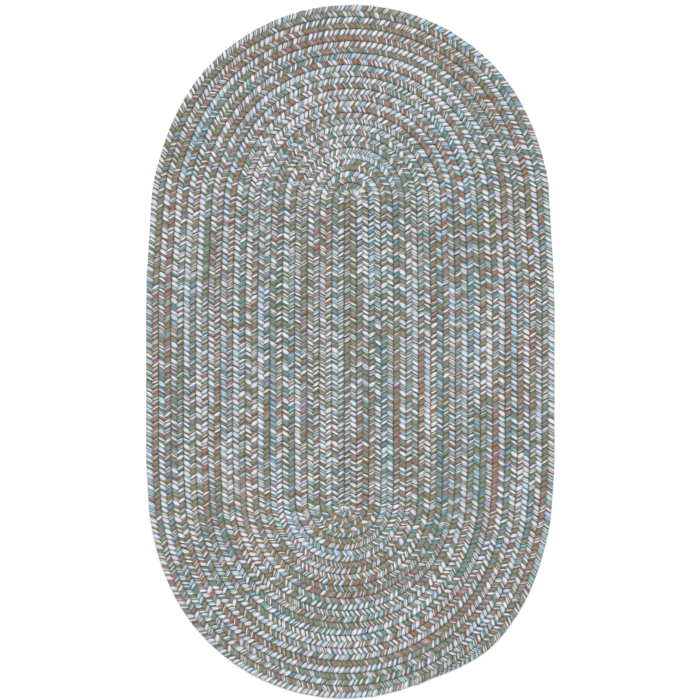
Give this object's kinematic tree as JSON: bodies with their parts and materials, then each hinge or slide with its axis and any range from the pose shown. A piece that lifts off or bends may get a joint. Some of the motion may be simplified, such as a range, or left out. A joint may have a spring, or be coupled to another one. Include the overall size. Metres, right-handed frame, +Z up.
{
  "type": "braided rug",
  "caption": "Oval rug of one thick braid of mottled yarn, coiled flat round a long fold and laced row to row, with a tapered end.",
  "frame": {"origin": "on the floor under the middle of the rug", "axes": "+Y along the rug's length toward the braid's start, +X across it, +Z up out of the floor"},
  "size_m": [0.8974, 1.524, 0.012],
  "materials": {
    "braid_yarn": "matt mottled yarn in white, pale blue, teal, olive, taupe and rust"
  },
  "bodies": {
    "root": {"braid_coil": "braid_yarn"}
  },
  "joints": []
}
